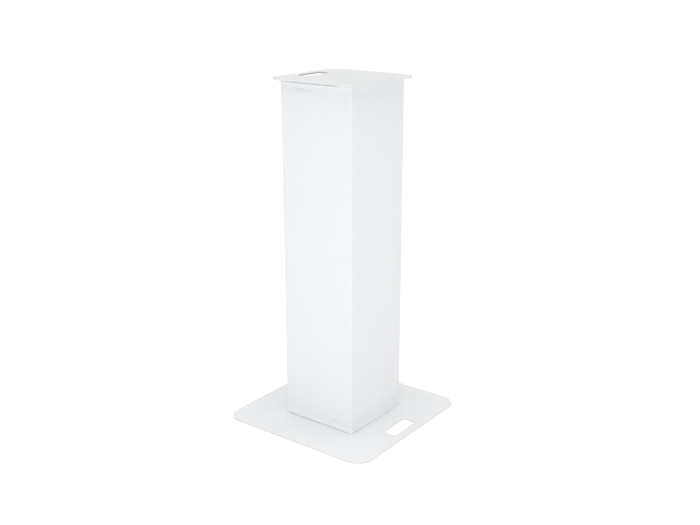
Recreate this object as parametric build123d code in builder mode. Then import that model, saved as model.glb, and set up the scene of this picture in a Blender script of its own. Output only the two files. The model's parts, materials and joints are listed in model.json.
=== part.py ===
from build123d import *

import os

# Column stand that carries a loudspeaker or a stage light.
#
# A square base plate and a smaller square top plate are joined by four square posts. Each plate has
# four short spigots that plug into the posts, and a thumb screw at each end of a post clamps its spigot.
# A white cloth cover wraps the posts and closes with a zip at the rear.
#
# Millimetres. +Z is up and the origin is on the floor, under the centre of the base plate. The front
# of the cover faces -Y, the base plate's hand slot is at +X and the top plate's hand slot is at -X.

os.makedirs("parts", exist_ok=True)

# Overall sizes
stand_height = 1000.0
base_side = 500.0
top_side = 300.0
cover_side = 240.0

# Plates
plate_thickness = 4.0
plate_corner_radius = 50.0
plate_edge_radius = 0.8
slot_length = 105.0
slot_width = 40.0
slot_corner_radius = 10.0
slot_rim = 26.0

# Feet
foot_height = 3.0
foot_radius = 20.0
foot_edge = 0.8
foot_inset = 55.0

# Posts and spigots
post_side = 30.0
post_wall = 1.5
post_corner_radius = 2.5
cover_to_post = 1.2
spigot_clearance = 0.2
spigot_wall = 2.0
spigot_length = 60.0
spigot_lead_in = 1.6

# Cover
cloth = 1.0
cover_gap_base = 3.0
cover_gap_top = 3.5
hook_pad_width = 22.0
hook_pad_length = 60.0
hook_pad_inset = 8.0

# Clamp screws, M6
clamp_height = 35.0
screw_radius = 3.0
screw_clearance = 0.05
wall_hole_radius = 3.5
bush_radius = 7.0
bush_length = 9.0
pad_radius = 2.8
pad_thickness = 1.5
pad_stem_radius = 1.2
pad_stem_length = 3.0
pad_socket_depth = 3.3
neck_start = 11.0
neck_radius = 7.0
grip_start = 13.0
grip_length = 14.0
grip_radius = 14.0
grip_lobes = 6
grip_scallop_radius = 5.0
grip_scallop_circle = 17.0
grip_edge_radius = 1.0
stud_in_grip = 10.0

# Zip
zip_half_gap = 5.0
tape_thickness = 0.5
tape_width = 15.4
coil_half_gap = 0.6
coil_width = 2.0
coil_thickness = 1.6
zip_stop_height = 4.0
zip_end_margin = 6.0
zip_box_half_width = 3.4
zip_box_height = 8.0
zip_box_thickness = 2.4
zip_box_corner_radius = 0.7
zip_pin_length = 14.0
zip_pin_clearance = 0.1
slider_half_width = 4.2
slider_shoulder_half_width = 5.2
slider_crest_half_width = 3.0
slider_shoulder_drop = 3.5
slider_length = 14.0
slider_plate = 1.2
slider_clearance = 0.3
slider_bridge_half = 0.3
slider_bridge_length = 3.0
slider_to_stop = 1.0
slider_corner_radius = 0.9
crown_half_width = 1.0
crown_length = 6.0
crown_height = 3.2
crown_web = 0.3
crown_window_height = 2.0
crown_window_length = 1.9
pull_bar_radius = 0.6
pull_arm_inner = 1.3
pull_half_width = 2.4
pull_foot_half_width = 3.3
pull_corner_radius = 1.2
pull_arm_length = 4.4
pull_length = 20.0
pull_hole_radius = 1.1
pull_hole_inset = 3.4

# Levels and distances that follow from the sizes above
base_top = foot_height + plate_thickness
top_under = stand_height - plate_thickness
cover_half = cover_side / 2
cover_inside = cover_half - cloth
cover_bottom = base_top + cover_gap_base
cover_top = top_under - cover_gap_top
cover_length = cover_top - cover_bottom
post_outer = cover_inside - cover_to_post
post_centre = post_outer - post_side / 2
post_inner = post_outer - post_side
post_bore = post_side - 2 * post_wall
post_bore_radius = post_corner_radius - post_wall
post_length = top_under - base_top
spigot_side = post_bore - 2 * spigot_clearance
base_clamp_z = base_top + clamp_height
top_clamp_z = top_under - clamp_height
base_slot_x = base_side / 2 - slot_rim - slot_width / 2
top_slot_x = -(top_side / 2 - slot_rim - slot_width / 2)
foot_centre = base_side / 2 - foot_inset

# Distances along a clamp screw, from the post's inner face towards the middle of the stand
pad_face = -(post_wall + spigot_clearance)
stud_tip = pad_face + pad_thickness
stud_end = grip_start + stud_in_grip

# Distances of the zip's layers from the middle of the stand
tape_inside = cover_inside - tape_thickness
coil_outside = cover_inside + coil_thickness
slider_under = tape_inside - slider_clearance
slider_over = coil_outside + slider_clearance
slider_outside = slider_over + slider_plate
pull_axis_y = slider_outside + crown_web + crown_window_height / 2
coil_centre = coil_half_gap + coil_width / 2
zip_bottom = cover_bottom + zip_end_margin
zip_top = cover_top - zip_end_margin
slider_top = zip_top - zip_stop_height - slider_to_stop
slider_bottom = slider_top - slider_length
slider_centre = slider_top - slider_length / 2

CORNERS = {
    "front_left": (-1, -1),
    "front_right": (1, -1),
    "rear_right": (1, 1),
    "rear_left": (-1, 1),
}
ENDS = {"base": base_clamp_z, "top": top_clamp_z}


def save(piece, label):
    """Names a finished piece and writes it as parts/label.step."""
    piece.label = label
    export_step(piece, f"parts/{label}.step")


def make_plate(side, bottom, slot_x):
    """Square steel plate with round corners, softened edges and one hand slot."""
    with BuildPart() as plate:
        with BuildSketch(Plane.XY.offset(bottom)):
            RectangleRounded(side, side, plate_corner_radius)
            with Locations((slot_x, 0)):
                RectangleRounded(slot_width, slot_length, slot_corner_radius, mode=Mode.SUBTRACT)
        extrude(amount=plate_thickness)
        by_height = plate.edges().group_by(Axis.Z)
        fillet(by_height[0] + by_height[-1], plate_edge_radius)
    return plate.part


def make_feet():
    """Four round rubber feet under the corners of the base plate."""
    with BuildPart() as feet:
        with BuildSketch(Plane.XY):
            with GridLocations(2 * foot_centre, 2 * foot_centre, 2, 2):
                Circle(foot_radius)
        extrude(amount=foot_height)
        chamfer(feet.edges().group_by(Axis.Z)[0], foot_edge)
    return feet.part


def make_spigot(side_x, side_y, bottom, lead_in_at_top):
    """Short square tube, welded to a plate at one end and bevelled at the end that enters the post."""
    with BuildPart() as spigot:
        with BuildSketch(Plane.XY.offset(bottom)):
            with Locations((side_x * post_centre, side_y * post_centre)):
                RectangleRounded(spigot_side, spigot_side, post_corner_radius)
                RectangleRounded(
                    spigot_side - 2 * spigot_wall,
                    spigot_side - 2 * spigot_wall,
                    post_bore_radius,
                    mode=Mode.SUBTRACT,
                )
        extrude(amount=spigot_length)
        free_end = spigot.faces().sort_by(Axis.Z)[-1 if lead_in_at_top else 0]
        chamfer(free_end.outer_wire().edges(), spigot_lead_in)
    return spigot.part


def make_post(side_x, side_y):
    """Square tube with a screw hole near each end, on the face towards the other post of its side."""
    with BuildPart() as post:
        with BuildSketch(Plane.XY.offset(base_top)):
            with Locations((side_x * post_centre, side_y * post_centre)):
                RectangleRounded(post_side, post_side, post_corner_radius)
                RectangleRounded(post_bore, post_bore, post_bore_radius, mode=Mode.SUBTRACT)
        extrude(amount=post_length)
        for z in ENDS.values():
            with BuildSketch(clamp_plane(side_x, side_y, z)):
                Circle(wall_hole_radius)
            extrude(amount=-2 * post_wall, mode=Mode.SUBTRACT)
    return post.part


def clamp_plane(side_x, side_y, z, along=0.0):
    """Plane across a clamp screw's axis. Its normal points from the post to the middle of the stand."""
    axis_start = (side_x * (post_inner - along), side_y * post_centre, z)
    return Plane(origin=axis_start, x_dir=(0, 1, 0), z_dir=(-side_x, 0, 0))


def make_bushes(z):
    """Four threaded bushes, each welded to the inner face of a post."""
    with BuildPart() as bushes:
        for side_x, side_y in CORNERS.values():
            with BuildSketch(clamp_plane(side_x, side_y, z)):
                Circle(bush_radius)
                Circle(screw_radius + screw_clearance, mode=Mode.SUBTRACT)
            extrude(amount=bush_length)
    return bushes.part


def make_clamp_pad(side_x, side_y, z):
    """Swivel tip that bears on the spigot, with a stem that turns in the end of the screw."""
    with BuildPart() as pad:
        with BuildSketch(clamp_plane(side_x, side_y, z, pad_face)):
            Circle(pad_radius)
        extrude(amount=pad_thickness)
        with BuildSketch(clamp_plane(side_x, side_y, z, stud_tip)):
            Circle(pad_stem_radius)
        extrude(amount=pad_stem_length)
    return pad.part


def make_clamp_stud(side_x, side_y, z):
    """M6 screw with a socket for the pad's stem in its tip."""
    with BuildPart() as stud:
        with BuildSketch(clamp_plane(side_x, side_y, z, stud_tip)):
            Circle(screw_radius)
        extrude(amount=stud_end - stud_tip)
        with BuildSketch(clamp_plane(side_x, side_y, z, stud_tip)):
            Circle(pad_stem_radius + screw_clearance)
        extrude(amount=pad_socket_depth, mode=Mode.SUBTRACT)
    return stud.part


def make_clamp_grip(side_x, side_y, z):
    """Lobed plastic hand grip on the screw's outer end, with a short round neck."""
    with BuildPart() as grip:
        with BuildSketch(clamp_plane(side_x, side_y, z, grip_start)):
            Circle(grip_radius)
            with PolarLocations(grip_scallop_circle, grip_lobes):
                Circle(grip_scallop_radius, mode=Mode.SUBTRACT)
        extrude(amount=grip_length)
        by_depth = grip.edges().group_by(Axis.X)
        fillet(by_depth[0] + by_depth[-1], grip_edge_radius)
        with BuildSketch(clamp_plane(side_x, side_y, z, neck_start)):
            Circle(neck_radius)
        extrude(amount=grip_start - neck_start)
        with BuildSketch(clamp_plane(side_x, side_y, z, neck_start)):
            Circle(screw_radius)
        extrude(amount=stud_end - neck_start, mode=Mode.SUBTRACT)
    return grip.part


def make_panel(low_x, high_x, low_y, high_y):
    """Upright flat piece of the cover between two corners in plan, over the cover's whole height."""
    with BuildPart() as panel:
        with BuildSketch(Plane.XY.offset(cover_bottom)):
            with Locations((low_x, low_y)):
                Rectangle(high_x - low_x, high_y - low_y, align=(Align.MIN, Align.MIN))
        extrude(amount=cover_length)
    return panel.part


def make_hook_pads(bottom):
    """Eight hook-tape pads, one on each outer face of the four posts, that hold the cover up."""
    with BuildPart() as pads:
        middle = post_outer + cover_to_post / 2
        with BuildSketch(Plane.XY.offset(bottom)):
            for side_x, side_y in CORNERS.values():
                with Locations((side_x * post_centre, side_y * middle)):
                    Rectangle(hook_pad_width, cover_to_post)
                with Locations((side_x * middle, side_y * post_centre)):
                    Rectangle(cover_to_post, hook_pad_width)
        extrude(amount=hook_pad_length)
    return pads.part


def make_zip_strip(side, inner_x, width, inside_y, thickness, bottom, top):
    """Upright strip of the zip on one side of its middle line."""
    low_x = inner_x if side > 0 else -inner_x - width
    with BuildPart() as strip:
        with BuildSketch(Plane.XY.offset(bottom)):
            with Locations((low_x, inside_y)):
                Rectangle(width, thickness, align=(Align.MIN, Align.MIN))
        extrude(amount=top - bottom)
    return strip.part


def make_zip_stops():
    """Metal stop at the top end of each coil."""
    with BuildPart() as stops:
        with BuildSketch(Plane.XY.offset(zip_top - zip_stop_height)):
            for side in (-1, 1):
                with Locations((side * coil_centre, cover_inside)):
                    Rectangle(coil_width, coil_thickness, align=(Align.CENTER, Align.MIN))
        extrude(amount=zip_stop_height)
    return stops.part


def make_zip_pin():
    """Pin at the foot of the left coil, which plugs into the box to start the zip."""
    with BuildPart() as pin:
        with BuildSketch(Plane.XY.offset(zip_bottom)):
            with Locations((-coil_centre, cover_inside + zip_pin_clearance)):
                Rectangle(
                    coil_width - 2 * zip_pin_clearance,
                    coil_thickness - 2 * zip_pin_clearance,
                    align=(Align.CENTER, Align.MIN),
                )
        extrude(amount=zip_pin_length - zip_pin_clearance)
    return pin.part


def make_zip_box():
    """Box at the foot of the zip, with a slot for the pin."""
    with BuildPart() as box:
        with BuildSketch(Plane.XY.offset(zip_bottom)):
            with Locations((0, cover_inside)):
                Rectangle(2 * zip_box_half_width, zip_box_thickness, align=(Align.CENTER, Align.MIN))
            with Locations((-coil_centre, cover_inside)):
                Rectangle(
                    coil_width, coil_thickness, align=(Align.CENTER, Align.MIN), mode=Mode.SUBTRACT
                )
        extrude(amount=zip_box_height)
        outer_corners = box.edges().filter_by(Axis.Z).group_by(Axis.Y)[-1]
        fillet(outer_corners, zip_box_corner_radius)
    return box.part


def zip_plane(y):
    """Upright plane that faces the rear, centred on the slider, with its second axis up."""
    return Plane(origin=(0, y, slider_centre), x_dir=(-1, 0, 0), z_dir=(0, 1, 0))


def make_zip_slider():
    """Slider with a plate inside and a plate outside the tapes, joined by a bridge between the coils."""
    half_length = slider_length / 2
    shoulder = half_length - slider_shoulder_drop
    outline = [
        (-slider_half_width, -half_length),
        (slider_half_width, -half_length),
        (slider_shoulder_half_width, shoulder),
        (slider_crest_half_width, half_length),
        (-slider_crest_half_width, half_length),
        (-slider_shoulder_half_width, shoulder),
    ]
    with BuildPart() as slider:
        for inside_y in (slider_under - slider_plate, slider_over):
            with BuildSketch(zip_plane(inside_y)) as plate:
                with BuildLine():
                    Polyline(*outline, close=True)
                make_face()
                fillet(plate.vertices(), slider_corner_radius)
            extrude(amount=slider_plate)
        flange_inside = cover_inside + slider_clearance
        flange_x = coil_half_gap + coil_width + slider_clearance
        with BuildSketch(Plane.XY.offset(slider_bottom + slider_corner_radius)):
            for side in (-1, 1):
                with Locations((side * (flange_x + slider_half_width) / 2, flange_inside)):
                    Rectangle(
                        slider_half_width - flange_x,
                        slider_over - flange_inside,
                        align=(Align.CENTER, Align.MIN),
                    )
        extrude(amount=half_length + shoulder)
        with BuildSketch(Plane.XY.offset(slider_top - slider_corner_radius - slider_bridge_length)):
            with Locations((0, slider_under)):
                Rectangle(
                    2 * slider_bridge_half,
                    slider_over - slider_under,
                    align=(Align.CENTER, Align.MIN),
                )
        extrude(amount=slider_bridge_length)
        with BuildSketch(Plane.YZ.offset(-crown_half_width)):
            with Locations((slider_outside, slider_centre)):
                Rectangle(crown_height, crown_length, align=(Align.MIN, Align.CENTER))
            with Locations((pull_axis_y, slider_centre)):
                Rectangle(crown_window_height, crown_window_length, mode=Mode.SUBTRACT)
        extrude(amount=2 * crown_half_width)
    return slider.part


def make_zip_pull():
    """Pull tab that hangs from a round bar through the slider's crown, between two arms."""
    tab = [
        (-pull_half_width, -pull_arm_length),
        (pull_half_width, -pull_arm_length),
        (pull_foot_half_width, -pull_length),
        (-pull_foot_half_width, -pull_length),
    ]
    with BuildPart() as pull:
        with BuildSketch(Plane.YZ.offset(-pull_half_width)):
            with Locations((pull_axis_y, slider_centre)):
                Circle(pull_bar_radius)
        extrude(amount=2 * pull_half_width)
        with BuildSketch(zip_plane(pull_axis_y - pull_bar_radius)) as plate:
            with BuildLine():
                Polyline(*tab, close=True)
            make_face()
            fillet(plate.vertices().group_by(Axis.Y)[0], pull_corner_radius)
            arm_middle = (pull_half_width + pull_arm_inner) / 2
            with Locations((-arm_middle, -pull_arm_length / 2), (arm_middle, -pull_arm_length / 2)):
                Rectangle(pull_half_width - pull_arm_inner, pull_arm_length + 2 * pull_bar_radius)
            with Locations((0, pull_hole_inset - pull_length)):
                Circle(pull_hole_radius, mode=Mode.SUBTRACT)
        extrude(amount=2 * pull_bar_radius)
    return pull.part


# Plates and feet
save(make_plate(base_side, foot_height, base_slot_x), "base_plate")
save(make_plate(top_side, top_under, top_slot_x), "top_plate")
save(make_feet(), "feet")

# Posts, with the spigots that they stand on and that enter them from above
for corner, (side_x, side_y) in CORNERS.items():
    save(make_post(side_x, side_y), f"post_{corner}")
    save(make_spigot(side_x, side_y, base_top, True), f"base_spigot_{corner}")
    save(make_spigot(side_x, side_y, top_under - spigot_length, False), f"top_spigot_{corner}")

# Clamp screws
for end, z in ENDS.items():
    save(make_bushes(z), f"{end}_clamp_bushes")
    for corner, (side_x, side_y) in CORNERS.items():
        save(make_clamp_pad(side_x, side_y, z), f"{end}_clamp_pad_{corner}")
        save(make_clamp_stud(side_x, side_y, z), f"{end}_clamp_stud_{corner}")
        save(make_clamp_grip(side_x, side_y, z), f"{end}_clamp_grip_{corner}")

# Cover
save(make_panel(-cover_half, cover_half, -cover_half, -cover_inside), "cover_front")
save(make_panel(-cover_half, -cover_inside, -cover_inside, cover_inside), "cover_left")
save(make_panel(cover_inside, cover_half, -cover_inside, cover_inside), "cover_right")
save(make_panel(-cover_half, -zip_half_gap, cover_inside, cover_half), "cover_rear_left")
save(make_panel(zip_half_gap, cover_half, cover_inside, cover_half), "cover_rear_right")
save(make_hook_pads(cover_bottom + hook_pad_inset), "base_hook_pads")
save(make_hook_pads(cover_top - hook_pad_inset - hook_pad_length), "top_hook_pads")

# Zip
for name, side, foot in (("left", -1, zip_pin_length), ("right", 1, zip_box_height)):
    save(
        make_zip_strip(
            side, coil_half_gap, tape_width, tape_inside, tape_thickness, cover_bottom, cover_top
        ),
        f"zip_tape_{name}",
    )
    save(
        make_zip_strip(
            side,
            coil_half_gap,
            coil_width,
            cover_inside,
            coil_thickness,
            zip_bottom + foot,
            zip_top - zip_stop_height,
        ),
        f"zip_coil_{name}",
    )
save(make_zip_stops(), "zip_top_stops")
save(make_zip_pin(), "zip_pin")
save(make_zip_box(), "zip_box")
save(make_zip_slider(), "zip_slider")
save(make_zip_pull(), "zip_pull")
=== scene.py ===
"""Looks of the covered column stand: the sewn cloth cover, its zip, and every finish. Metres, Z up."""

import json
import math
import random
from collections import namedtuple

import bpy
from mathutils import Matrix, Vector


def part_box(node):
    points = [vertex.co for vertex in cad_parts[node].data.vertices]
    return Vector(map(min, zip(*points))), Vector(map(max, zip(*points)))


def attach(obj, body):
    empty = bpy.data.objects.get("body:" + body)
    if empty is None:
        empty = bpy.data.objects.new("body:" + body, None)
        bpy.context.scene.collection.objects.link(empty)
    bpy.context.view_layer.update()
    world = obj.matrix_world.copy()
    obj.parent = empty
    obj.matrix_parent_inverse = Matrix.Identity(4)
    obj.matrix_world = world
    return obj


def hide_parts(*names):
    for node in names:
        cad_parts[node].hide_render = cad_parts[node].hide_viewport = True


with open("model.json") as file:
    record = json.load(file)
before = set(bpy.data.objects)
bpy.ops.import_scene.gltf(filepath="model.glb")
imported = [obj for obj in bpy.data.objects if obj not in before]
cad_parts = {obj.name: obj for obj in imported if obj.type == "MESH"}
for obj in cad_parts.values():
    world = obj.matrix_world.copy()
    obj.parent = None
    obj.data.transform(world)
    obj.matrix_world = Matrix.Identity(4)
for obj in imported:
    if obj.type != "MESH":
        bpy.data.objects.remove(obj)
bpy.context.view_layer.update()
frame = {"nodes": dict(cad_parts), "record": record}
MM = 0.001

# ---------------------------------------------------------------------------------------------------
# Places that come from the CAD frame
# ---------------------------------------------------------------------------------------------------
front_low, front_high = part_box("cover_front")
rear_left_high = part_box("cover_rear_left")[1]
COVER_HALF = front_high.x
COVER_BOTTOM = front_low.z
COVER_TOP = front_high.z
COVER_LENGTH = COVER_TOP - COVER_BOTTOM
ZIP_HALF_GAP = -rear_left_high.x
POST_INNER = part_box("post_front_right")[0].x

# ---------------------------------------------------------------------------------------------------
# Cover sizes
# ---------------------------------------------------------------------------------------------------
CLOTH = 0.9 * MM
CORNER_RADIUS = 1.7 * MM
CORNER_STEPS = 5
HEM_WIDTH = 11.5 * MM
HEM_STITCH = 9.4 * MM
HEM_LIFT = 0.75 * MM
# A hem is a little thicker midway between its fold and its stitches, and it ends in a step
HEM_BULGE = 0.14
HEM_STEP_INSIDE = 0.5 * MM
HEM_STEP_OUTSIDE = 0.9 * MM
HEM_FLARE = 1.4 * MM
HEM_FLARE_HEIGHT = 6.0 * MM
HEM_FOLD_SHARE = 0.3
# How far the bottom hem hangs down and the top hem has slipped, fading out over HEM_BLEND of height
HEM_DROP = 1.8 * MM
HEM_DIP = 0.4 * MM
HEM_DIP_FRONT = 1.9 * MM
HEM_BLEND = 60.0 * MM
STITCH_GROOVE = 0.55 * MM
STITCH_GROOVE_HALF = 0.9 * MM
ZIP_FOLD_WIDTH = 7.5 * MM
ZIP_STITCH = 2.6 * MM
PLAIN_STEP = 6.0 * MM
EDGE_CLEARANCE = 2.0 * MM
PLAIN_ROWS = 160
# Shares of the cover's length: the gap between the plain rows and the close ones, and how far the middle
# row of a fold stands out
ROW_CLEARANCE = 0.003
FOLD_ROUND = 0.0003
# How far the cloth is drawn in midway between two posts
PANEL_PULL = 0.9 * MM
REAR_PANEL_PULL = 0.3 * MM
RIPPLE_SIZE = 0.22 * MM
RIPPLE_COUNT = 9
# The pinch lies this far along the bottom hem from the front's right corner
PINCH = -56.0 * MM
PINCH_HALF = 18.0 * MM
PINCH_STEP = 1.2 * MM
STITCH_PITCH = 3.2 * MM
STITCH_LENGTH = 2.5 * MM
STITCH_RADIUS = 0.28 * MM
STITCH_MARGIN = 5.0 * MM
STITCH_SIDES = 6
# A stitch from end to end: (share of its length, share of its radius, lift in radii)
STITCH_PROFILE = [
    (0.0, 0.25, -0.9),
    (0.14, 0.9, -0.1),
    (0.5, 1.0, 0.35),
    (0.86, 0.9, -0.1),
    (1.0, 0.25, -0.9),
]

# Light of the white room, where 1 is paper white: (sine of the height above the horizon, glow)
ROOM_GLOW = [(0.0, 1.0), (0.12, 0.95), (0.4, 0.4), (0.65, 0.9), (1.0, 2.0)]
FLOOR_GLOW = 0.88

# Millimetres from a folded edge where the cloth's shape needs a row of points: the hem, then the creases
EDGE_ROWS = [0.0, 0.35, 0.9, 2.0, 3.6, 5.4, 7.2, 8.2, 8.8, 9.4, 10.0, 10.6, 11.1, 11.5, 12.1, 12.8]
EDGE_ROWS += [14.0 + 1.3 * step for step in range(9)]
EDGE_ROWS += [26.0, 28.0, 31.0]


def smooth_step(low, high, value):
    """0 below low, 1 above high, and a smooth ramp between them."""
    t = min(max((value - low) / (high - low), 0.0), 1.0)
    return t * t * (3.0 - 2.0 * t)


def plateau(value, rise_from, rise_to, fall_from, fall_to):
    """1 in the middle and 0 outside, with a smooth ramp at each end."""
    return smooth_step(rise_from, rise_to, value) * (1.0 - smooth_step(fall_from, fall_to, value))


def bell(value, middle, half_width):
    """A smooth bump, 1 at the middle, that fades within about two half widths."""
    return math.exp(-(((value - middle) / half_width) ** 2))


# ---------------------------------------------------------------------------------------------------
# Material nodes
# ---------------------------------------------------------------------------------------------------
# The part of a noise texture's range that a ramp spreads out; it is held outside it
NOISE_LOW = 0.3
NOISE_HIGH = 0.7

WALE_PITCH = 1.15 * MM
COURSE_PITCH = 0.85 * MM
TWILL_PITCH = 0.9 * MM
PICK_PITCH = 0.5 * MM


class Shader:
    """A principled material whose texture nodes are added one call at a time."""

    def __init__(self, name, **sockets):
        self.material = bpy.data.materials.new(name)
        self.material.use_nodes = True
        self.tree = self.material.node_tree
        self.surface = next(n for n in self.tree.nodes if n.type == "BSDF_PRINCIPLED")
        for socket, value in sockets.items():
            self.surface.inputs[socket.replace("_", " ")].default_value = value
        coordinates = self.add("ShaderNodeTexCoord")
        self.place = coordinates.outputs["Object"]
        self.facing = coordinates.outputs["Normal"]

    def add(self, kind, **properties):
        node = self.tree.nodes.new(kind)
        for name, value in properties.items():
            setattr(node, name, value)
        return node

    def link(self, source, target):
        self.tree.links.new(source, target)

    def math(self, operation, first, second=0.0):
        """One math node. Each operand is a socket or a number."""
        node = self.add("ShaderNodeMath", operation=operation)
        for value, socket in zip((first, second), node.inputs):
            if isinstance(value, (int, float)):
                socket.default_value = value
            else:
                self.link(value, socket)
        return node.outputs[0]

    def axes(self):
        """The object coordinates as three sockets."""
        split = self.add("ShaderNodeSeparateXYZ")
        self.link(self.place, split.inputs[0])
        return split.outputs

    def noise(self, scale, detail=3.0, roughness=0.5, stretch=None):
        """Noise from 0 to 1. scale is in cells a metre, and stretch squeezes it along the axes."""
        node = self.add("ShaderNodeTexNoise")
        node.inputs["Scale"].default_value = scale
        node.inputs["Detail"].default_value = detail
        node.inputs["Roughness"].default_value = roughness
        source = self.place
        if stretch:
            mapping = self.add("ShaderNodeMapping")
            mapping.inputs["Scale"].default_value = stretch
            self.link(self.place, mapping.inputs["Vector"])
            source = mapping.outputs[0]
        self.link(source, node.inputs["Vector"])
        return node.outputs["Fac"]

    def ramp(self, source, low, high, low_value, high_value):
        """Maps source from low..high to low_value..high_value, held at both ends."""
        node = self.add("ShaderNodeMapRange")
        self.link(source, node.inputs["Value"])
        ends = {"From Min": low, "From Max": high, "To Min": low_value, "To Max": high_value}
        for socket, value in ends.items():
            node.inputs[socket].default_value = value
        return node.outputs[0]

    def colours(self, source, first, second, low=0.0, high=1.0):
        """Colours the surface from first to second as source goes from low to high."""
        node = self.add("ShaderNodeValToRGB")
        node.color_ramp.elements[0].position = low
        node.color_ramp.elements[0].color = (*first, 1.0)
        node.color_ramp.elements[1].position = high
        node.color_ramp.elements[1].color = (*second, 1.0)
        self.link(source, node.inputs[0])
        self.link(node.outputs[0], self.surface.inputs["Base Color"])

    def roughness(self, source, low_value, high_value):
        """Varies the roughness with a noise."""
        amount = self.ramp(source, NOISE_LOW, NOISE_HIGH, low_value, high_value)
        self.link(amount, self.surface.inputs["Roughness"])

    def bump(self, source, height, strength=1.0):
        """Relief of that height in metres. Calls add up."""
        node = self.add("ShaderNodeBump")
        node.inputs["Strength"].default_value = strength
        node.inputs["Distance"].default_value = height
        self.link(source, node.inputs["Height"])
        normal = self.surface.inputs["Normal"]
        if normal.is_linked:
            self.link(normal.links[0].from_socket, node.inputs["Normal"])
        self.link(node.outputs[0], normal)


def shade(level, blue=0.0):
    """A near-white of that linear level, slightly cool."""
    return (level, level * 1.014, level * (1.026 + blue))


def make_powder_coat(name, painted_edge_shade):
    """Satin powder coat. On the base plate, painted shade greys its cut edges by a patchy amount."""
    s = Shader(name, Roughness=0.42, Specular_IOR_Level=0.5, Coat_Weight=0.12, Coat_Roughness=0.3)
    clouds = s.noise(9.0, detail=4.0)
    cover = s.ramp(clouds, NOISE_LOW, NOISE_HIGH, 0.88, 1.0)
    # Painted shade: faces whose normal is near level, the base plate's cut edges, are darkened by a
    # noise-varied amount
    if painted_edge_shade:
        flat = s.add("ShaderNodeSeparateXYZ")
        s.link(s.facing, flat.inputs[0])
        edge_shade = s.ramp(s.math("ABSOLUTE", flat.outputs["Z"]), 0.1, 0.6, 1.0, 0.0)
        edge_shade_patches = s.ramp(s.noise(40.0), NOISE_LOW, NOISE_HIGH, 0.3, 0.55)
        cover = s.math("SUBTRACT", cover, s.math("MULTIPLY", edge_shade, edge_shade_patches))
    s.colours(cover, shade(0.54), shade(0.745))
    peel = s.noise(620.0, detail=2.0)
    s.roughness(s.noise(160.0), 0.38, 0.5)
    s.bump(peel, 0.06 * MM, 0.5)
    s.bump(s.noise(2600.0, detail=1.0), 0.01 * MM, 0.3)
    return s.material


def make_knit():
    """Stretch jersey: upright wales crossed by courses, with painted shade in bands by each corner where a
    post stands behind the cloth.
    """
    s = Shader(
        "white_jersey", Roughness=0.88, Sheen_Weight=0.12, Sheen_Roughness=0.4, Specular_IOR_Level=0.2
    )
    x, y, z = s.axes()
    around = s.math("ADD", x, y)
    wale = s.math("SINE", s.math("MULTIPLY", around, math.tau / WALE_PITCH))
    course = s.math("SINE", s.math("MULTIPLY", z, math.tau / COURSE_PITCH))
    loops = s.math("MULTIPLY", wale, course)
    knit = s.math("ADD", s.math("MULTIPLY", s.math("ABSOLUTE", wale), 0.7), s.math("MULTIPLY", loops, 0.3))
    fuzz = s.noise(1500.0, detail=2.0)
    clouds = s.noise(14.0, detail=4.0, stretch=(1.0, 1.0, 0.35))
    # The narrower of the two plan coordinates says how far a point is from the nearest corner
    across = s.math("MINIMUM", s.math("ABSOLUTE", x), s.math("ABSOLUTE", y))
    # Painted shade of the posts behind the cloth: the colour is darker in a band by each corner
    post_shade = s.ramp(across, POST_INNER - 6 * MM, POST_INNER + 4 * MM, 0.0, 0.55)
    tone = s.math("ADD", s.math("MULTIPLY", clouds, 0.3), s.math("MULTIPLY", knit, 0.12))
    tone = s.math("SUBTRACT", tone, s.math("MULTIPLY", post_shade, 0.12))
    s.colours(s.math("ADD", tone, 0.3), shade(0.765, 0.004), shade(0.84, 0.004))
    s.bump(knit, 0.16 * MM, 0.6)
    s.bump(fuzz, 0.05 * MM, 0.4)
    s.bump(s.noise(55.0, detail=3.0, stretch=(1.0, 1.0, 0.5)), 0.6 * MM, 0.35)
    return s.material


def make_thread():
    s = Shader("white_thread", Roughness=0.55, Sheen_Weight=0.2)
    s.colours(s.noise(2500.0, detail=2.0), shade(0.74), shade(0.88))
    s.bump(s.noise(3200.0, stretch=(1.0, 1.0, 0.4)), 0.04 * MM, 0.6)
    return s.material


def make_zip_tape():
    """Twill tape: fine diagonal ribs."""
    s = Shader("white_zip_tape", Roughness=0.8, Sheen_Weight=0.1)
    x, _, z = s.axes()
    diagonal = s.math("ADD", x, s.math("MULTIPLY", z, 0.6))
    rib = s.math("SINE", s.math("MULTIPLY", diagonal, math.tau / TWILL_PITCH))
    pick = s.math("SINE", s.math("MULTIPLY", z, math.tau / PICK_PITCH))
    weave = s.math("ADD", s.math("MULTIPLY", rib, 0.3), s.math("MULTIPLY", pick, 0.2))
    s.colours(s.math("ADD", weave, 0.5), shade(0.76), shade(0.86))
    s.bump(weave, 0.12 * MM, 0.8)
    s.bump(s.noise(2200.0), 0.03 * MM, 0.4)
    return s.material


def make_nylon():
    s = Shader("white_nylon", Roughness=0.34, Subsurface_Weight=0.15, Subsurface_Scale=MM)
    s.colours(s.noise(300.0), shade(0.78), shade(0.87))
    s.roughness(s.noise(900.0), 0.28, 0.44)
    s.bump(s.noise(1800.0), 0.02 * MM, 0.4)
    return s.material


def make_enamel():
    s = Shader("white_enamelled_zinc", Roughness=0.3, Coat_Weight=0.3, Coat_Roughness=0.15)
    s.colours(s.noise(250.0, detail=5.0), shade(0.72), shade(0.86), 0.25, 0.6)
    s.roughness(s.noise(400.0), 0.24, 0.4)
    s.bump(s.noise(900.0), 0.03 * MM, 0.4)
    return s.material


def make_hook_tape():
    s = Shader("white_hook_tape", Roughness=0.75)
    hooks = s.noise(1400.0, detail=1.0)
    s.colours(hooks, shade(0.55), shade(0.85), 0.35, 0.6)
    s.bump(hooks, 0.5 * MM, 0.9)
    return s.material


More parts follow.
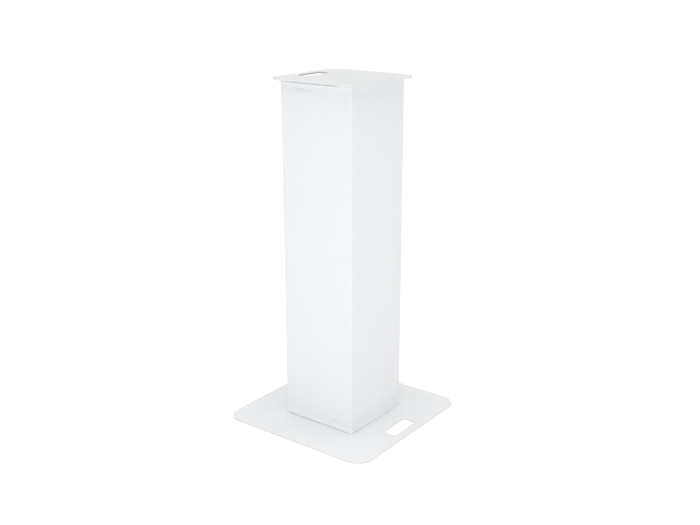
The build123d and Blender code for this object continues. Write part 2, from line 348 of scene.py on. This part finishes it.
def make_zinc():
    s = Shader("bright_zinc", Metallic=1.0, Roughness=0.32)
    s.colours(s.noise(180.0, detail=6.0), (0.5, 0.51, 0.54), (0.72, 0.73, 0.76), 0.3, 0.7)
    s.roughness(s.noise(700.0, stretch=(0.15, 1.0, 1.0)), 0.24, 0.46)
    s.bump(s.noise(1500.0, stretch=(0.1, 1.0, 1.0)), 0.02 * MM, 0.5)
    return s.material


def make_black_plastic():
    s = Shader("black_nylon", Roughness=0.5, Specular_IOR_Level=0.4)
    grain = s.noise(1900.0, detail=2.0)
    s.colours(s.noise(60.0), (0.018, 0.018, 0.02), (0.03, 0.03, 0.033))
    s.roughness(s.noise(350.0), 0.42, 0.6)
    s.bump(grain, 0.05 * MM, 0.6)
    return s.material


def make_rubber():
    s = Shader("black_rubber", Roughness=0.85, Specular_IOR_Level=0.25)
    s.colours(s.noise(120.0, detail=5.0), (0.02, 0.02, 0.021), (0.05, 0.049, 0.048))
    s.bump(s.noise(1100.0, detail=3.0), 0.12 * MM, 0.6)
    return s.material


def make_floor():
    """Studio floor, lit so evenly that only the closest shadow shows on it."""
    s = Shader("studio_floor", Roughness=1.0, Specular_IOR_Level=0.0, Emission_Strength=FLOOR_GLOW)
    s.surface.inputs["Base Color"].default_value = (0.15, 0.15, 0.15, 1.0)
    s.surface.inputs["Emission Color"].default_value = (1.0, 1.0, 1.0, 1.0)
    return s.material


MAKERS = {
    "white_steel": lambda: make_powder_coat("white_powder_coat", False),
    "white_cloth": make_knit,
    "zip_cloth": make_zip_tape,
    "zip_plastic": make_nylon,
    "zip_metal": make_enamel,
    "hook_tape": make_hook_tape,
    "zinc": make_zinc,
    "black_plastic": make_black_plastic,
    "rubber": make_rubber,
}
MATERIALS = {slot: make() for slot, make in MAKERS.items()}
BASE_COAT_EDGE_SHADED = make_powder_coat("white_base_coat_painted_edge_shade", True)
THREAD = make_thread()


def dress_cad_nodes():
    """Gives every carried-over CAD node the finish of its record slot."""
    for part in frame["record"]["subparts"]:
        node = frame["nodes"][part["node"]]
        node.data.materials.clear()
        # The base plate's coat carries painted shade along its cut edges
        finish = BASE_COAT_EDGE_SHADED if part["node"] == "base_plate" else MATERIALS[part["material_slot"]]
        node.data.materials.append(finish)


# ---------------------------------------------------------------------------------------------------
# Mesh helpers
# ---------------------------------------------------------------------------------------------------
def add_mesh(name, points, faces, material, body):
    """A smooth-shaded mesh that rides on a body."""
    mesh = bpy.data.meshes.new(name)
    mesh.from_pydata([tuple(p) for p in points], [], faces)
    mesh.validate()
    for polygon in mesh.polygons:
        polygon.use_smooth = True
    mesh.materials.append(material)
    piece = bpy.data.objects.new(name, mesh)
    bpy.context.scene.collection.objects.link(piece)
    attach(piece, body)
    return piece


def join_rings(faces, first, rings, sides):
    """Skins a tube whose rings of points start at index first, and closes both its ends."""
    for ring in range(rings - 1):
        for step in range(sides):
            a = first + ring * sides + step
            b = first + ring * sides + (step + 1) % sides
            faces.append((a, b, b + sides, a + sides))
    faces.append(tuple(first + step for step in reversed(range(sides))))
    last = first + (rings - 1) * sides
    faces.append(tuple(last + step for step in range(sides)))


# ---------------------------------------------------------------------------------------------------
# The cloth's path in plan
# ---------------------------------------------------------------------------------------------------
Run = namedtuple("Run", "kind origin heading outward length")


class Path:
    """The cover's outline in plan, walked from the zip's left edge, round the front, to its right edge."""

    def __init__(self):
        flat = COVER_HALF - CORNER_RADIUS
        corners = [(-1, 1), (-1, -1), (1, -1), (1, 1)]
        self.runs = []
        start = Vector((-ZIP_HALF_GAP, COVER_HALF))
        for sign_x, sign_y in corners:
            centre = Vector((sign_x * flat, sign_y * flat))
            heading = self.heading(start, centre)
            outward = Vector((heading.y, -heading.x))
            stop = centre + outward * CORNER_RADIUS
            self.runs.append(Run("straight", start, heading, outward, (stop - start).length))
            self.runs.append(Run("corner", centre, heading, outward, CORNER_RADIUS * math.pi / 2))
            start = centre + heading * CORNER_RADIUS
        stop = Vector((ZIP_HALF_GAP, COVER_HALF))
        heading = (stop - start).normalized()
        outward = Vector((heading.y, -heading.x))
        self.runs.append(Run("straight", start, heading, outward, (stop - start).length))
        self.length = sum(run.length for run in self.runs)

    @staticmethod
    def heading(start, centre):
        """The run's direction: along the side that the corner's centre lies on."""
        gap = centre - start
        if abs(gap.x) > abs(gap.y):
            return Vector((math.copysign(1.0, gap.x), 0.0))
        return Vector((0.0, math.copysign(1.0, gap.y)))

    def at(self, s):
        """(point, outward normal) at a distance s along the outline."""
        for run in self.runs:
            if s <= run.length or run is self.runs[-1]:
                break
            s -= run.length
        if run.kind == "straight":
            return run.origin + run.heading * s, run.outward
        turn = s / CORNER_RADIUS
        normal = run.outward * math.cos(turn) + run.heading * math.sin(turn)
        return run.origin + normal * CORNER_RADIUS, normal

    def stations(self):
        """Distances along the outline where the mesh has a column of points."""
        found = []
        walked = 0.0
        for run in self.runs:
            if run.kind == "corner":
                count = CORNER_STEPS
            else:
                count = max(2, round(run.length / PLAIN_STEP))
            found += [walked + run.length * step / count for step in range(count)]
            walked += run.length
        edge = [row * MM for row in EDGE_ROWS]
        first_plain = edge[-1] + EDGE_CLEARANCE
        inner = [s for s in found if first_plain < s < self.length - first_plain]
        # Close columns over the pinch by the front's right corner
        pinch_at = self.corner_at(2) + PINCH
        inner = [s for s in inner if abs(s - pinch_at) > PINCH_HALF]
        steps = round(2 * PINCH_HALF / PINCH_STEP)
        inner += [pinch_at - PINCH_HALF + 2 * PINCH_HALF * step / steps for step in range(steps + 1)]
        return edge + sorted(inner) + [self.length - d for d in reversed(edge)]

    def corner_at(self, index):
        """Distance along the outline at the middle of a corner."""
        return sum(run.length for run in self.runs[: 2 * index + 1]) + self.runs[1].length / 2


PATH = Path()
# Distances along the outline at which the corners lie: rear left, front left, front right, rear right
CORNER_AT = [PATH.corner_at(index) for index in range(4)]
FRONT_LEFT = CORNER_AT[1]
FRONT_RIGHT = CORNER_AT[2]


# ---------------------------------------------------------------------------------------------------
# The cloth's relief
# ---------------------------------------------------------------------------------------------------
random.seed(41)
# (length across, length up, phase, share of RIPPLE_SIZE)
RIPPLES = [
    (
        random.uniform(0.12, 0.34),
        random.uniform(0.18, 0.6),
        random.uniform(0, math.tau),
        random.uniform(0.1, 0.3),
    )
    for _ in range(RIPPLE_COUNT)
]


def hem_rise(distance, width, stitch):
    """How far a folded and sewn edge stands out, at a distance from the fold."""
    rise = HEM_LIFT * (1.0 - smooth_step(width - HEM_STEP_INSIDE, width + HEM_STEP_OUTSIDE, distance))
    rise *= 1.0 - HEM_BULGE * (1.0 - math.sin(math.pi * min(distance / stitch, 1.0)))
    groove = STITCH_GROOVE * bell(distance, stitch, STITCH_GROOVE_HALF)
    return max(rise - groove, 0.0)


def panel_share(s):
    """(0 to 1 across the panel that holds s, the panel's number from the zip's left edge)."""
    edges = [0.0, *CORNER_AT, PATH.length]
    for index, (start, stop) in enumerate(zip(edges, edges[1:])):
        if s <= stop:
            return (s - start) / (stop - start), index
    return 1.0, len(CORNER_AT)


def slack(s, z):
    """The cloth's own unevenness, mostly between the posts, in metres."""
    share, panel = panel_share(s)
    middle = math.sin(math.pi * min(max(share, 0.0), 1.0)) ** 2
    height = (z - COVER_BOTTOM) / COVER_LENGTH
    waist = math.sin(math.pi * min(max(height, 0.0), 1.0))
    pull = PANEL_PULL if 0 < panel < len(CORNER_AT) else REAR_PANEL_PULL
    wave = sum(
        size * math.sin(math.tau * (s / across + z / up) + phase) for across, up, phase, size in RIPPLES
    )
    return RIPPLE_SIZE * wave * middle - pull * middle * waist


def fold(rise, up, along, height, half_height, middle, half_length):
    """A soft fold that stands out by rise, at a height up from a hem's edge and a middle along it."""
    return rise * bell(up, height, half_height) * bell(along, middle, half_length)


def top_creases(s, below_top):
    """A valley pulled in below the top hem by the front's left corner, and a soft fold further in."""
    along = s - FRONT_LEFT
    valley = 12.6 * MM + 0.037 * (along - 31 * MM)
    total = fold(
        -2.6 * MM, below_top, along, height=valley, half_height=2.1 * MM, middle=62 * MM, half_length=26 * MM
    )
    total += fold(
        1.2 * MM, below_top, along, height=26 * MM, half_height=7 * MM, middle=84 * MM, half_length=28 * MM
    )
    return total


def pinch(s, above_bottom):
    """A hollow above the bottom hem that ends steeply on its right, and a shallow trough from it."""
    along = s - FRONT_RIGHT
    hollow = plateau(along, PINCH - 16 * MM, PINCH - 4 * MM, PINCH - 2.5 * MM, PINCH + 2.5 * MM)
    trough = plateau(along, PINCH - 4 * MM, PINCH + 6 * MM, -24 * MM, -10 * MM)
    total = -3.2 * MM * bell(above_bottom, 19 * MM, 6.5 * MM) * hollow
    total -= 0.5 * MM * bell(above_bottom, 15 * MM, 4.0 * MM) * trough
    return total


def gathers(s, above_bottom, below_top):
    """Fine gathers that fan out from both hems at each corner."""
    total = 0.0
    for corner in CORNER_AT:
        away = s - corner
        low_fan = 0.12 * MM * math.sin(away / (9 * MM) + above_bottom / (30 * MM))
        total += fold(
            low_fan,
            above_bottom,
            abs(away),
            height=16 * MM,
            half_height=14 * MM,
            middle=32 * MM,
            half_length=20 * MM,
        )
        high_fan = 0.14 * MM * math.sin(away / (8 * MM) - below_top / (24 * MM))
        total += fold(
            high_fan,
            below_top,
            abs(away),
            height=18 * MM,
            half_height=16 * MM,
            middle=34 * MM,
            half_length=22 * MM,
        )
    return total


def creases(s, z):
    """Small soft folds near the hems, where the cover was pulled into place."""
    below_top = COVER_TOP - z
    above_bottom = z - COVER_BOTTOM
    return top_creases(s, below_top) + pinch(s, above_bottom) + gathers(s, above_bottom, below_top)


def hem_drop(s):
    """How far the bottom hem hangs down: most by the front's two corners, then along the right face."""
    right_corner = 0.5 * MM * bell(s, FRONT_RIGHT - 4 * MM, 17 * MM)
    left_corner = 0.3 * MM * bell(s, FRONT_LEFT, 25 * MM)
    right_face = 0.2 * MM * smooth_step(FRONT_RIGHT - 10 * MM, FRONT_RIGHT + 10 * MM, s)
    sag = max(right_corner + left_corner, right_face)
    waviness = 0.15 * MM * math.sin(s / (37 * MM)) + 0.1 * MM * math.sin(s / (13 * MM) + 1.0)
    return HEM_DROP + sag + waviness


def hem_dip(s):
    """How far the top hem has slipped down: a little all round, and more along most of the front."""
    along = (s - FRONT_LEFT) / (FRONT_RIGHT - FRONT_LEFT)
    return HEM_DIP + HEM_DIP_FRONT * plateau(along, -0.05, 0.12, 0.74, 0.9)


def cloth_point(s, height, inward):
    """A point of the cover: s around, height as 0 to 1 from the bottom fold, inward from the outer side."""
    z = COVER_BOTTOM + height * COVER_LENGTH
    from_bottom = z - COVER_BOTTOM
    from_top = COVER_TOP - z
    from_zip = min(s, PATH.length - s)
    rise = max(
        hem_rise(from_bottom, HEM_WIDTH, HEM_STITCH),
        hem_rise(from_top, HEM_WIDTH, HEM_STITCH),
        hem_rise(from_zip, ZIP_FOLD_WIDTH, ZIP_STITCH),
    )
    flare = HEM_FLARE * (1.0 - smooth_step(0.0, HEM_FLARE_HEIGHT, from_bottom))
    relief = slack(s, z) + creases(s, z) + flare
    point, outward = PATH.at(min(max(s, 0.0), PATH.length))
    # On the inner side a fold stands in by HEM_FOLD_SHARE of what it stands out on the outer side
    share = inward / CLOTH
    depth = relief + rise * (1.0 - (1.0 + HEM_FOLD_SHARE) * share) - inward
    place = point + outward * depth
    drop = hem_drop(s) * (1.0 - smooth_step(0.0, HEM_BLEND, from_bottom))
    drop += hem_dip(s) * (1.0 - smooth_step(0.0, HEM_BLEND, from_top))
    return Vector((place.x, place.y, z - drop))


def make_cover():
    """One sewn sleeve with folded hems, closed round the cloth's own thickness."""
    stations = PATH.stations()
    rows = [row * MM / COVER_LENGTH for row in EDGE_ROWS]
    plain = [row / PLAIN_ROWS for row in range(PLAIN_ROWS + 1)]
    first_plain = rows[-1] + ROW_CLEARANCE
    heights = rows + [height for height in plain if first_plain < height < 1.0 - first_plain]
    heights += [1.0 - row for row in reversed(rows)]
    # The section goes up the outer side and down the inner side, with both folds rounded
    section = [(height, 0.0) for height in heights]
    section.append((1.0 + FOLD_ROUND, 0.5))
    section += [(height, 1.0) for height in reversed(heights)]
    section.append((-FOLD_ROUND, 0.5))
    points = [cloth_point(s, height, side * CLOTH) for s in stations for height, side in section]
    around = len(section)
    faces = []
    for column in range(len(stations) - 1):
        for row in range(around):
            after = (row + 1) % around
            a = column * around
            b = a + around
            faces.append((a + row, b + row, b + after, a + after))
    # The two ends by the zip, closed strip by strip between the outer and the inner side
    count = len(heights)
    for column, flip in ((0, False), (len(stations) - 1, True)):
        base = column * around
        for row in range(count - 1):
            inner = 2 * count - row
            quad = (base + row, base + row + 1, base + inner - 1, base + inner)
            faces.append(tuple(reversed(quad)) if flip else quad)
        top = (base + count - 1, base + count, base + count + 1)
        low = (base, base + 2 * count, base + 2 * count + 1)
        faces.append(tuple(reversed(top)) if flip else top)
        faces.append(tuple(reversed(low)) if flip else low)
    cover = add_mesh("cover_sleeve", points, faces, MATERIALS["white_cloth"], "column")
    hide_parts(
        "cover_front", "cover_left", "cover_right", "cover_rear_left", "cover_rear_right"
    )
    return cover


# ---------------------------------------------------------------------------------------------------
# Stitches
# ---------------------------------------------------------------------------------------------------
def stitch(points, faces, start, stop, outward):
    """One stitch: a thread that dips into the cloth at both ends."""
    axis = stop - start
    side = axis.normalized().cross(outward)
    first = len(points)
    for along, girth, lift in STITCH_PROFILE:
        centre = start + axis * along + outward * STITCH_RADIUS * lift
        for step in range(STITCH_SIDES):
            turn = math.tau * step / STITCH_SIDES
            spoke = side * math.cos(turn) + outward * math.sin(turn)
            points.append(centre + spoke * STITCH_RADIUS * girth)
    join_rings(faces, first, len(STITCH_PROFILE), STITCH_SIDES)


def make_stitching():
    """The topstitching of both hems and of both edges of the zip."""
    points = []
    faces = []
    length_share = STITCH_LENGTH / COVER_LENGTH
    for height in (HEM_STITCH / COVER_LENGTH, 1.0 - HEM_STITCH / COVER_LENGTH):
        for index in range(int((PATH.length - 2 * STITCH_MARGIN) / STITCH_PITCH)):
            s = STITCH_MARGIN + index * STITCH_PITCH
            _, outward = PATH.at(s + STITCH_LENGTH / 2)
            start = cloth_point(s, height, 0.0)
            stop = cloth_point(s + STITCH_LENGTH, height, 0.0)
            stitch(points, faces, start, stop, Vector((outward.x, outward.y, 0.0)))
    for s in (ZIP_STITCH, PATH.length - ZIP_STITCH):
        _, outward = PATH.at(s)
        for index in range(int((COVER_LENGTH - 2 * STITCH_MARGIN) / STITCH_PITCH)):
            height = (STITCH_MARGIN + index * STITCH_PITCH) / COVER_LENGTH
            start = cloth_point(s, height, 0.0)
            stop = cloth_point(s, height + length_share, 0.0)
            stitch(points, faces, start, stop, Vector((outward.x, outward.y, 0.0)))
    return add_mesh("cover_stitching", points, faces, THREAD, "column")


# ---------------------------------------------------------------------------------------------------
# Zip coils
# ---------------------------------------------------------------------------------------------------
COIL_PITCH = 1.6 * MM
COIL_WIRE = 0.34 * MM
# How far a coil's heads reach over the zip's middle
COIL_MESH = 0.45 * MM
COIL_STEPS = 12
COIL_SIDES = 6
# How much thicker the wire is at its head than elsewhere
COIL_HEAD = 0.12


def make_coil(side_name):
    """One nylon coil: a flattened helix whose heads reach over the zip's middle, between the other's."""
    low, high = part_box(f"zip_coil_{side_name}")
    side = 1.0 if low.x > 0 else -1.0
    if side > 0:
        low.x = -COIL_MESH
    else:
        high.x = COIL_MESH
    middle = (low + high) / 2
    reach = (high - low) / 2
    turns = int((high.z - low.z - 2 * COIL_WIRE) / COIL_PITCH) - 1
    half_turn = 0.5 * COIL_PITCH if side > 0 else 0.0
    centres = []
    for step in range(turns * COIL_STEPS + 1):
        turn = math.tau * step / COIL_STEPS
        head = 1.0 + COIL_HEAD * max(math.cos(turn), 0.0)
        x = middle.x - side * (reach.x - COIL_WIRE) * math.cos(turn)
        y = middle.y + (reach.y - COIL_WIRE) * math.sin(turn)
        z = low.z + COIL_WIRE + COIL_PITCH * step / COIL_STEPS
        centres.append((Vector((x, y, z + half_turn)), head))
    points = []
    faces = []
    for index, (centre, head) in enumerate(centres):
        before = centres[max(index - 1, 0)][0]
        after = centres[min(index + 1, len(centres) - 1)][0]
        tangent = (after - before).normalized()
        out = Vector((centre.x - middle.x, centre.y - middle.y, 0.0)).normalized()
        across = tangent.cross(out).normalized()
        out = across.cross(tangent)
        for step in range(COIL_SIDES):
            turn = math.tau * step / COIL_SIDES
            spoke = out * math.cos(turn) + across * math.sin(turn)
            points.append(centre + spoke * COIL_WIRE * head)
    join_rings(faces, 0, len(centres), COIL_SIDES)
    coil = add_mesh(
        f"zip_helix_{side_name}", points, faces, MATERIALS["zip_plastic"], "column"
    )
    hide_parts(f"zip_coil_{side_name}")


# ---------------------------------------------------------------------------------------------------
# Studio
# ---------------------------------------------------------------------------------------------------
SOFTBOXES = [
    # name, place, aimed at, width, height, watts
    ("front_softbox", (0.5, -1.5, 0.6), (0, 0, 0.55), 0.6, 0.6, 4.0),
    ("side_softbox", (1.35, -0.25, 0.62), (0, 0, 0.55), 0.6, 0.6, 1.26),
]
FLOOR_REACH = 60.0

CAMERA_AZIMUTH = math.radians(36.9)
CAMERA_ELEVATION = math.radians(17.73)
CAMERA_DISTANCE = 2.752
CAMERA_AIM_HEIGHT = 0.4695
CAMERA_AIM_RIGHT = 0.019
CAMERA_LENS = 49.05


def make_floor_plane():
    mesh = bpy.data.meshes.new("studio_floor")
    reach = FLOOR_REACH
    corners = [(-reach, -reach, 0), (reach, -reach, 0), (reach, reach, 0), (-reach, reach, 0)]
    mesh.from_pydata(corners, [], [(0, 1, 2, 3)])
    mesh.materials.append(make_floor())
    floor = bpy.data.objects.new("studio_floor", mesh)
    bpy.context.scene.collection.objects.link(floor)


def add_softbox(name, place, target, width, height, watts):
    light = bpy.data.lights.new(name, "AREA")
    light.shape = "RECTANGLE"
    light.size = width
    light.size_y = height
    light.energy = watts
    box = bpy.data.objects.new(name, light)
    box.location = place
    box.rotation_euler = (Vector(target) - Vector(place)).to_track_quat("-Z", "Y").to_euler()
    bpy.context.scene.collection.objects.link(box)


def make_studio():
    scene = bpy.context.scene
    world = bpy.data.worlds.new("white_room")
    world.use_nodes = True
    tree = world.node_tree
    background = tree.nodes["Background"]
    direction = tree.nodes.new("ShaderNodeTexCoord")
    axes = tree.nodes.new("ShaderNodeSeparateXYZ")
    glow = tree.nodes.new("ShaderNodeValToRGB")
    stops = glow.color_ramp.elements
    stops.remove(stops[-1])
    brightest = ROOM_GLOW[-1][1]
    for index, (place, level) in enumerate(ROOM_GLOW):
        stop = stops.new(place) if index else stops[0]
        stop.position = place
        stop.color = (*[level / brightest] * 3, 1.0)
    tree.links.new(direction.outputs["Generated"], axes.inputs[0])
    tree.links.new(axes.outputs["Z"], glow.inputs[0])
    tree.links.new(glow.outputs[0], background.inputs["Color"])
    background.inputs["Strength"].default_value = brightest
    scene.world = world
    scene.view_settings.view_transform = "Standard"
    for softbox in SOFTBOXES:
        add_softbox(*softbox)
    make_floor_plane()


def make_camera():
    """Eye a little over the stand's height, seen from the front right corner."""
    right = Vector((math.cos(CAMERA_AZIMUTH), math.sin(CAMERA_AZIMUTH), 0.0))
    back = Vector(
        (
            math.sin(CAMERA_AZIMUTH) * math.cos(CAMERA_ELEVATION),
            -math.cos(CAMERA_AZIMUTH) * math.cos(CAMERA_ELEVATION),
            math.sin(CAMERA_ELEVATION),
        )
    )
    target = Vector((0.0, 0.0, CAMERA_AIM_HEIGHT)) + right * CAMERA_AIM_RIGHT
    lens = bpy.data.cameras.new("camera")
    lens.lens = CAMERA_LENS
    camera = bpy.data.objects.new("camera", lens)
    camera.location = target + back * CAMERA_DISTANCE
    camera.rotation_euler = (-back).to_track_quat("-Z", "Y").to_euler()
    bpy.context.scene.collection.objects.link(camera)
    bpy.context.scene.camera = camera


make_camera()
make_studio()
dress_cad_nodes()
cover = make_cover()
stitching = make_stitching()
for side_name in ("left", "right"):
    make_coil(side_name)
